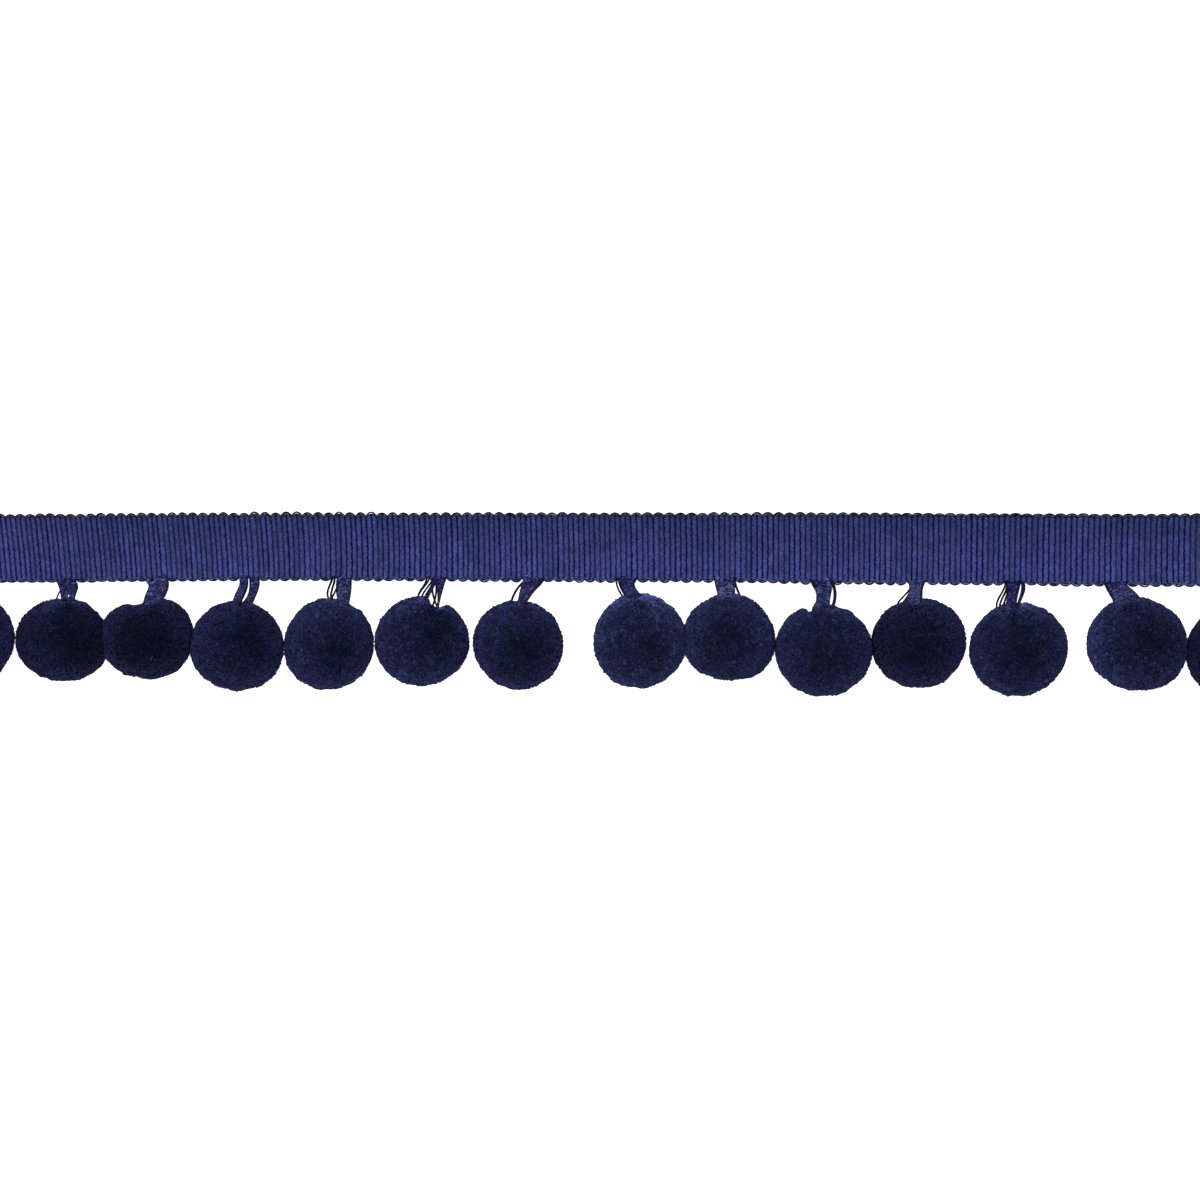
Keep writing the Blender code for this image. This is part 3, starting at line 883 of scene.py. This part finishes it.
def core_skin(index, middle, entry):
    """Points and triangles of the ball that closes the pile a little under its tips, which
    make_pompom paints dark as shade deep in the pile.
    """
    core = bmesh.new()
    bmesh.ops.create_icosphere(core, subdivisions=CORE_SUBDIVISIONS, radius=1)
    directions = np.array([point.co for point in core.verts])
    triangles = np.array([[point.index for point in face.verts] for face in core.faces])
    core.free()
    reach = pressed_reach(index, directions, open_reach(POMPOMS[index], directions))
    reach -= CORE_DEPTH + PART_DEPTH * parted_share(entry, directions)
    return middle + directions * reach[:, None], triangles


def make_pompom(index, layout, material, rng):
    """A ball of cut pile: where its strands end, how they lean and how light each is."""
    ball = POMPOMS[index]
    fibres, tufts, nearest, border = layout
    spin = random_turn(rng)
    fibres, tufts = fibres @ spin, tufts @ spin
    middle = np.array([ball.x, ball.y, middle_height(ball)])
    lean = TUFT_LEAN * rng.standard_normal(tufts.shape)
    tall = TUFT_UNEVEN * rng.standard_normal(len(tufts))
    tone = np.exp(TUFT_SHADE * rng.standard_normal(len(tufts)))
    tips = unit(fibres * (1 - CLUMP) + tufts[nearest] * CLUMP + lean[nearest])
    entry = entry_direction(index)
    from_entry = np.degrees(np.arccos(np.clip(tips @ entry, -1, 1)))
    parted = parted_share(entry, tips)
    tips = unit(tips + PART_LEAN * parted[:, None] * unit(tips - entry))
    reach = open_reach(ball, tips) - TIP_DEPTH
    reach -= TUFT_BORDER * border**2 - TUFT_BORDER / 3
    reach += swells(index, tips, rng)
    reach += tall[nearest] + FIBRE_UNEVEN * rng.standard_normal(len(tips)) - PART_DEPTH * parted
    reach = pressed_reach(index, tips, reach)
    ends = middle + tips * reach[:, None]
    pole = np.array([ball.pole_x, ball.pole_y, 0.0])
    combed = np.exp(-((from_entry / FAN_SPREAD) ** 2))[:, None]
    away = unit(tips - (tips @ entry)[:, None] * entry)
    grown = unit(unit(ends - middle - pole) + FAN_LEAN * ball.fan * combed * away)
    points, triangles = cut_strands(ends, grown, rng)
    count = len(ends)
    each = ball.tone * tone[nearest] * np.exp(FIBRE_SHADE * rng.standard_normal(count))
    each *= 1 + ball.fan * fan_streaks(tips, entry, from_entry, rng)
    # Painted light and shade on the sides of the pompom that are listed in SIDES.
    each = np.minimum(each * side_light_and_shade(index, tips), TONE_LIMIT)
    values = np.concatenate([each] * 4)
    # Painted shade down the pile, from 0 at each strand's root to 1 at its cut end.
    out = np.concatenate([np.zeros(count), np.ones(3 * count)])
    core_points, core_triangles = core_skin(index, middle, entry)
    triangles = np.concatenate([triangles, core_triangles + len(points)])
    points = np.concatenate([points, core_points])
    made = triangle_piece(f"pompom_{index + 1:02d}_pile", points, triangles, material)
    # The first triangles are the strands' cut ends, painted darker as shade.
    end = np.ones(len(triangles))
    end[:count] = END_SHADE
    set_values(made, "end", end, "FACE")
    set_values(made, "tone", np.concatenate([values, np.full(len(core_points), ball.tone)]))
    # The core is painted as dark as shade deep in the pile.
    set_values(made, "out", np.concatenate([out, np.full(len(core_points), CORE_SHADE)]))
    return made


def through(values, share, onward):
    """A smooth run through four values at CORD_PLACES, past them straight on or held there."""
    curve = np.polyfit(CORD_PLACES, values, 3)
    held = np.clip(share, CORD_PLACES[0], CORD_PLACES[-1])
    run = np.polyval(curve, held)
    return run + (share - held) * np.polyval(np.polyder(curve), held) if onward else run


def cord_path(cord):
    """From inside the heading's lower edge, up in an S and over the pompom's shoulder."""
    ball, station = POMPOMS[cord.stem], STATIONS[cord.stem]
    share = np.linspace(0, 1, CORD_STEPS)
    x = station.root + through((cord.top, cord.upper, cord.lower, cord.foot), share, True)
    direction = shoulder_direction(ball, x[-1])
    reach = pressed_reach(cord.stem, direction[None], open_reach(ball, direction[None]))[0]
    end = np.array([ball.x, ball.y, middle_height(ball)]) + direction * (reach - CORD_SINK)
    start_y = station.lower + CORD_START
    y = start_y + (end[1] - start_y) * share
    rise = share * share * (3 - 2 * share)
    z = CORD_START_HEIGHT + (end[2] - CORD_START_HEIGHT) * rise
    return np.stack([x, y, z], 1)


def out_of_heading(path, from_share):
    """The path again, under the heading's face up to from_share of its way."""
    share = np.linspace(0, 1, len(path))
    down = CORD_DIVE * np.clip(1 - share / from_share, 0, 1)
    return path - down[:, None] * (0.0, 0.0, 1.0)


def add_plait(tubes, plait, rng):
    """Strands that go from side to side and over and under each other, round a plain inside."""
    path = cord_path(plait)
    share = np.linspace(0, 1, CORD_STEPS)
    widths = (plait.top_wide, plait.upper_wide, plait.lower_wide, plait.foot_wide)
    half = np.maximum(through(widths, share, False) / 2 - STRAND, NARROWEST_HALF)
    wide = sum(widths) / len(widths)
    count = max(FEWEST_STRANDS, round(wide / STRAND_SPACING))
    turns = plait.cross * np.linalg.norm(path[-1] - path[0]) / (2 * math.pi * np.mean(half))
    crossed = share - CROSS_EASE * np.sin(2 * math.pi * share)
    forward = unit(np.gradient(path, axis=0))
    side = unit(np.cross(forward, PLAIT_UP))
    over = np.cross(side, forward)
    for number in range(count):
        waves = rng.uniform(*LOOSE_WAVES) * share + rng.uniform()
        turn = 2 * math.pi * (number / count + turns * crossed)
        turn += STRAND_LOOSE * np.sin(2 * math.pi * waves)
        lift = np.sin(2 * turn)
        offset = half[:, None] * np.sin(turn)[:, None] * side + STRAND_LIFT * lift[:, None] * over
        aside = np.clip((np.abs(np.sin(turn)) - SIDE_START) / (1 - SIDE_START), 0, 1)
        # Painted light and shade: lighter where a strand lies high, darker where it dives low and
        # at the plait's sides, lighter at its start and darker, as shade, where it goes into the
        # pile.
        shade = (MIDDLE_LIGHT + LIFT_LIGHT * lift) * (1 - SIDE_DARK * aside)
        shade *= 1 + CORD_LIGHT * np.exp(-((share / CORD_LIGHT_SHARE) ** 2))
        shade *= 1 - FOOT_DARK * np.clip((share - FOOT_SHARE) / (1 - FOOT_SHARE), 0, 1)
        tone = plait.tone * rng.choice(STRAND_TONES)
        strand = out_of_heading(path + offset, rng.uniform(*CORD_DIVE_SHARES))
        tubes.add(strand, STRAND, STRAND_SIDES, tone, shade)
    inner = max(2, round(max(widths) / INNER_SPACING))
    for place in np.linspace(-1, 1, inner):
        offset = INNER_WIDE * place * half[:, None] * side
        strand = out_of_heading(path + offset, CORD_DIVE_SHARES[1])[::INNER_STEP]
        tubes.add(strand, STRAND, INNER_SIDES, INNER_TONE * plait.tone, INNER_SHADE)


def make_stem(index, materials, rng):
    """A stem's plaits as one piece, and its loose threads, if it has any, as another."""
    light, dark = materials
    name = f"stem_{index + 1:02d}"
    tubes, threads = Tubes(), Tubes()
    for plait in PLAITS:
        if plait.stem == index:
            add_plait(tubes, plait, rng)
    for thread in THREADS:
        if thread.stem == index:
            path = out_of_heading(cord_path(thread), CORD_DIVE_SHARES[0])
            threads.add(path, thread.width / 2, THREAD_SIDES, rng.uniform(0, 1))
    made = [tubes.piece(name + "_cords", light)]
    if threads.points:
        made.append(threads.piece(name + "_threads", dark))
    return made


def make_floor():
    bpy.ops.mesh.primitive_plane_add(size=1)
    floor = bpy.context.object
    floor.name = "floor"
    floor.scale = (FLOOR_SIDE, FLOOR_SIDE, 1)
    nodes = Nodes("floor_paper")
    place = nodes.add("ShaderNodeTexCoord").outputs["Object"]
    grain = nodes.noise(place, 300.0, 3.0)
    tint = nodes.mix(grain, (0.93, 0.93, 0.93, 1), (0.95, 0.95, 0.95, 1))
    nodes.set(nodes.shader.inputs["Base Color"], tint)
    nodes.shader.inputs["Roughness"].default_value = 0.9
    nodes.shader.inputs["Specular IOR Level"].default_value = 0.0
    nodes.shader.inputs["Emission Color"].default_value = (1, 1, 1, 1)
    nodes.shader.inputs["Emission Strength"].default_value = FLOOR_GLOW
    floor.data.materials.append(nodes.material)
    return floor


def make_light():
    world = bpy.data.worlds.new("studio")
    bpy.context.scene.world = world
    world.use_nodes = True
    sky = world.node_tree.nodes["Background"]
    sky.inputs["Color"].default_value = (1, 1, 1, 1)
    sky.inputs["Strength"].default_value = SKY_STRENGTH
    lamp = bpy.data.lights.new("softbox", "AREA")
    lamp.shape = "SQUARE"
    lamp.size = LAMP_SIDE
    lamp.energy = LAMP_POWER
    made = bpy.data.objects.new("softbox", lamp)
    made.location = LAMP_PLACE
    made.rotation_euler = (-made.location).to_track_quat("-Z", "Y").to_euler()
    bpy.context.scene.collection.objects.link(made)


def make_camera():
    data = bpy.data.cameras.new("camera")
    data.lens = CAMERA_LENS
    data.sensor_width = CAMERA_SENSOR
    data.clip_start = 0.1
    data.clip_end = 20.0
    made = bpy.data.objects.new("camera", data)
    made.location = (VIEW_X * MM, VIEW_Y * MM, CAMERA_HEIGHT * MM)
    bpy.context.scene.collection.objects.link(made)
    bpy.context.scene.camera = made


def main():
    rng = np.random.default_rng(SEED)
    floor = make_floor()
    heading = make_heading(rng)
    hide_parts("heading")
    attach(heading, "root")
    # The loops' light colours paint highlights on their lighter strands.
    loop_yarn = yarn_material("loop_yarn", colour(2, 3, 14), colour(112, 120, 160), 0.06)
    edge_yarn = yarn_material("edge_yarn", colour(4, 6, 44), colour(100, 108, 158), 0.06)
    stem_yarn = yarn_material("stem_yarn", colour(7, 12, 74), colour(98, 104, 162), 0.08)
    thread_yarn = yarn_material("thread_yarn", colour(2, 3, 12), colour(12, 15, 42), 0.1)
    pile_yarn = pile_material()
    trimmings = [
        make_loops("upper_loops", "upper", 1, UPPER_LOOPS, loop_yarn, rng),
        make_loops("lower_loops", "lower", -1, LOWER_LOOPS, edge_yarn, rng),
    ]
    for piece in trimmings:
        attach(piece, "root")
    layout = pile_layout(rng)
    for index in range(len(POMPOMS)):
        for piece in make_stem(index, (stem_yarn, thread_yarn), rng):
            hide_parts(f"stem_{index + 1:02d}")
            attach(piece, "root")
            trimmings.append(piece)
        pile = make_pompom(index, layout, pile_yarn, rng)
        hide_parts(f"pompom_{index + 1:02d}")
        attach(pile, "root")
        trimmings.append(pile)
    make_light()
    make_camera()
    bpy.context.scene.view_settings.view_transform = "Standard"


PIECES = pieces_collection()
main()
